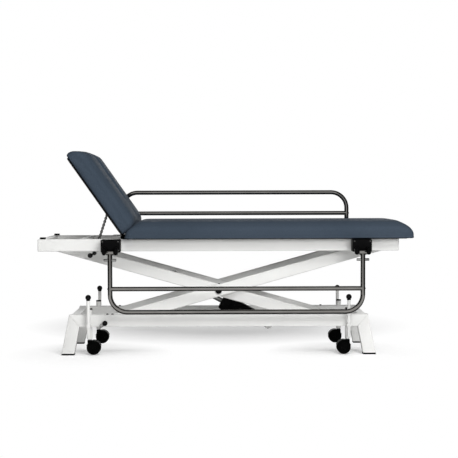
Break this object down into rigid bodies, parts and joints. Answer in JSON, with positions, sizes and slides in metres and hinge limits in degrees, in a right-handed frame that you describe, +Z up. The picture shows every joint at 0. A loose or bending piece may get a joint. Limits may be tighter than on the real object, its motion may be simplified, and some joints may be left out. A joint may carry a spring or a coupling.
{
  "type": "examination table",
  "caption": "Height-adjustable examination table: padded seat and raising backrest with a face slot on a scissor-lift base, flip-over side guards and retractable casters.",
  "frame": {"origin": "on the floor, under the middle of the table's length and width", "axes": "+X along the table to the foot end, +Y across it to the far side, +Z up"},
  "size_m": [1.8356, 0.695, 1.0207],
  "materials": {
    "white_paint": "satin",
    "black_rubber": "matte",
    "black_plastic": "satin",
    "bare_steel": "satin",
    "chrome": "polished",
    "upholstery": "satin",
    "plywood": "matte"
  },
  "bodies": {
    "base": {"base_side_near": "white_paint", "base_side_far": "white_paint", "base_cross_head": "white_paint", "base_cross_foot": "white_paint", "motor_mount": "white_paint", "lower_pivot_shaft": "bare_steel", "foot_pad_head_near": "black_rubber", "foot_pad_head_far": "black_rubber", "foot_pad_foot_near": "black_rubber", "foot_pad_foot_far": "black_rubber"},
    "outer_arms": {"outer_arm_near": "white_paint", "outer_arm_far": "white_paint", "centre_pin_near": "black_plastic", "centre_pin_far": "black_plastic"},
    "inner_arms": {"inner_arm_near": "white_paint", "inner_arm_far": "white_paint", "arm_tie": "white_paint"},
    "lower_rollers": {"lower_wheelset": "bare_steel"},
    "upper_rollers": {"upper_wheelset": "bare_steel"},
    "motor": {"lift_motor": "black_plastic"},
    "motor_rod": {"lift_rod": "bare_steel"},
    "top_frame": {"frame_rail_near": "white_paint", "frame_rail_far": "white_paint", "frame_cross_head": "white_paint", "frame_cross_foot": "white_paint", "lock_bridge": "white_paint", "upper_pivot_shaft": "bare_steel", "hinge_shaft": "black_plastic", "bumper_near": "black_rubber", "bumper_far": "black_rubber", "guard_bracket_head_near": "black_plastic", "guard_bracket_head_far": "black_plastic", "guard_bracket_foot_near": "black_plastic", "guard_bracket_foot_far": "black_plastic", "seat_board": "plywood", "seat_pad": "upholstery"},
    "backrest": {"back_board": "plywood", "back_pad": "upholstery"},
    "back_lock": {"lock_body": "black_plastic"},
    "back_lock_rod": {"lock_rod": "bare_steel"},
    "release": {"release_lever": "black_plastic"},
    "brake": {"brake_lever": "black_plastic"},
    "guard_near": {"side_guard_near": "chrome"},
    "guard_far": {"side_guard_far": "chrome"},
    "lever_head_near": {"caster_lever_head_near": "white_paint"},
    "lever_head_far": {"caster_lever_head_far": "white_paint"},
    "lever_foot_near": {"caster_lever_foot_near": "white_paint"},
    "lever_foot_far": {"caster_lever_foot_far": "white_paint"},
    "stem_head_near": {"caster_stem_head_near": "bare_steel"},
    "stem_head_far": {"caster_stem_head_far": "bare_steel"},
    "stem_foot_near": {"caster_stem_foot_near": "bare_steel"},
    "stem_foot_far": {"caster_stem_foot_far": "bare_steel"},
    "fork_head_near": {"caster_fork_head_near": "black_plastic"},
    "fork_head_far": {"caster_fork_head_far": "black_plastic"},
    "fork_foot_near": {"caster_fork_foot_near": "black_plastic"},
    "fork_foot_far": {"caster_fork_foot_far": "black_plastic"},
    "wheel_head_near": {"caster_wheel_head_near": "black_rubber"},
    "wheel_head_far": {"caster_wheel_head_far": "black_rubber"},
    "wheel_foot_near": {"caster_wheel_foot_near": "black_rubber"},
    "wheel_foot_far": {"caster_wheel_foot_far": "black_rubber"}
  },
  "joints": [
    {"name": "lift", "type": "hinge", "parent": "base", "child": "outer_arms", "pos_m": [-0.54795, 0, 0.171], "axis": [0, -1, 0], "range_deg": [-7, 10]},
    {"name": "scissor_cross", "type": "hinge", "parent": "outer_arms", "child": "inner_arms", "pos_m": [-0.03, 0, 0.316], "axis": [0, -1, 0], "range_deg": [-20.5, 14.5]},
    {"name": "frame_level", "type": "hinge", "parent": "inner_arms", "child": "top_frame", "pos_m": [-0.823, 0, 0.538], "axis": [0, -1, 0], "range_deg": [-7.5, 10.5]},
    {"name": "lower_roll", "type": "hinge", "parent": "inner_arms", "child": "lower_rollers", "pos_m": [0.48795, 0, 0.171], "axis": [0, 1, 0], "continuous": true},
    {"name": "upper_roll", "type": "hinge", "parent": "outer_arms", "child": "upper_rollers", "pos_m": [0.763, 0, 0.538], "axis": [0, 1, 0], "continuous": true},
    {"name": "motor_tilt", "type": "hinge", "parent": "base", "child": "motor", "pos_m": [0.223, 0, 0.12], "axis": [0, -1, 0], "range_deg": [-11, 8]},
    {"name": "rod_tilt", "type": "hinge", "parent": "inner_arms", "child": "motor_rod", "pos_m": [-0.25986, 0, 0.38035], "axis": [0, -1, 0], "range_deg": [-1, 1]},
    {"name": "recline", "type": "hinge", "parent": "top_frame", "child": "backrest", "pos_m": [-0.498, 0, 0.5868], "axis": [0, 1, 0], "range_deg": [-55, 6]},
    {"name": "lock_swing", "type": "hinge", "parent": "top_frame", "child": "back_lock", "pos_m": [-0.656, 0, 0.5328], "axis": [0, 1, 0], "range_deg": [-28, 3.5]},
    {"name": "lock_rod_swing", "type": "hinge", "parent": "backrest", "child": "back_lock_rod", "pos_m": [-0.59377, 0, 0.72358], "axis": [0, 1, 0], "range_deg": [-3.5, 28]},
    {"name": "release_pull", "type": "hinge", "parent": "top_frame", "child": "release", "pos_m": [-0.642, -0.232, 0.5085], "axis": [0, 1, 0], "range_deg": [0, 18], "stiffness_Nm_per_rad": 0.1, "springref_deg": -11.46},
    {"name": "brake_turn", "type": "hinge", "parent": "base", "child": "brake", "pos_m": [-0.61, -0.2193, 0.15], "axis": [0, 1, 0], "range_deg": [0, 60]},
    {"name": "guard_near_flip", "type": "hinge", "parent": "top_frame", "child": "guard_near", "pos_m": [0.057, -0.335, 0.516], "axis": [-1, 0, 0], "range_deg": [0, 180]},
    {"name": "guard_far_flip", "type": "hinge", "parent": "top_frame", "child": "guard_far", "pos_m": [0.057, 0.335, 0.516], "axis": [-1, 0, 0], "range_deg": [0, 180]},
    {"name": "lever_head_near_turn", "type": "hinge", "parent": "base", "child": "lever_head_near", "pos_m": [-0.672, -0.2193, 0.15], "axis": [0, 1, 0], "range_deg": [0, 60]},
    {"name": "lever_head_far_turn", "type": "hinge", "parent": "base", "child": "lever_head_far", "pos_m": [-0.672, 0.2193, 0.15], "axis": [0, 1, 0], "range_deg": [0, 60]},
    {"name": "lever_foot_near_turn", "type": "hinge", "parent": "base", "child": "lever_foot_near", "pos_m": [0.612, -0.2193, 0.15], "axis": [0, -1, 0], "range_deg": [0, 60]},
    {"name": "lever_foot_far_turn", "type": "hinge", "parent": "base", "child": "lever_foot_far", "pos_m": [0.612, 0.2193, 0.15], "axis": [0, -1, 0], "range_deg": [0, 60]},
    {"name": "stem_head_near_drop", "type": "slide", "parent": "base", "child": "stem_head_near", "axis": [0, 0, -1], "range_m": [0, 0.0205]},
    {"name": "stem_head_far_drop", "type": "slide", "parent": "base", "child": "stem_head_far", "axis": [0, 0, -1], "range_m": [0, 0.0205]},
    {"name": "stem_foot_near_drop", "type": "slide", "parent": "base", "child": "stem_foot_near", "axis": [0, 0, -1], "range_m": [0, 0.0205]},
    {"name": "stem_foot_far_drop", "type": "slide", "parent": "base", "child": "stem_foot_far", "axis": [0, 0, -1], "range_m": [0, 0.0205]},
    {"name": "fork_head_near_swivel", "type": "hinge", "parent": "stem_head_near", "child": "fork_head_near", "pos_m": [-0.672, -0.199, 0.074], "axis": [0, 0, 1], "continuous": true},
    {"name": "fork_head_far_swivel", "type": "hinge", "parent": "stem_head_far", "child": "fork_head_far", "pos_m": [-0.672, 0.199, 0.074], "axis": [0, 0, 1], "continuous": true},
    {"name": "fork_foot_near_swivel", "type": "hinge", "parent": "stem_foot_near", "child": "fork_foot_near", "pos_m": [0.612, -0.199, 0.074], "axis": [0, 0, 1], "continuous": true},
    {"name": "fork_foot_far_swivel", "type": "hinge", "parent": "stem_foot_far", "child": "fork_foot_far", "pos_m": [0.612, 0.199, 0.074], "axis": [0, 0, 1], "continuous": true},
    {"name": "wheel_head_near_roll", "type": "hinge", "parent": "fork_head_near", "child": "wheel_head_near", "pos_m": [-0.652, -0.199, 0.0365], "axis": [0, 1, 0], "continuous": true},
    {"name": "wheel_head_far_roll", "type": "hinge", "parent": "fork_head_far", "child": "wheel_head_far", "pos_m": [-0.652, 0.199, 0.0365], "axis": [0, 1, 0], "continuous": true},
    {"name": "wheel_foot_near_roll", "type": "hinge", "parent": "fork_foot_near", "child": "wheel_foot_near", "pos_m": [0.592, -0.199, 0.0365], "axis": [0, 1, 0], "continuous": true},
    {"name": "wheel_foot_far_roll", "type": "hinge", "parent": "fork_foot_far", "child": "wheel_foot_far", "pos_m": [0.592, 0.199, 0.0365], "axis": [0, 1, 0], "continuous": true}
  ],
  "couplings": [
    {"joint": "scissor_cross", "follows": "lift", "ratio": -2},
    {"joint": "frame_level", "follows": "lift", "ratio": 1},
    {"joint": "motor_tilt", "follows": "lift", "ratio": -1.0726},
    {"joint": "rod_tilt", "follows": "lift", "ratio": -0.0726},
    {"joint": "lock_swing", "follows": "recline", "ratio": 0.5},
    {"joint": "lock_rod_swing", "follows": "recline", "ratio": -0.5},
    {"joint": "stem_head_near_drop", "follows": "lever_head_near_turn", "m_per_rad": 0.019},
    {"joint": "stem_head_far_drop", "follows": "lever_head_far_turn", "m_per_rad": 0.019},
    {"joint": "stem_foot_near_drop", "follows": "lever_foot_near_turn", "m_per_rad": 0.019},
    {"joint": "stem_foot_far_drop", "follows": "lever_foot_far_turn", "m_per_rad": 0.019}
  ]
}
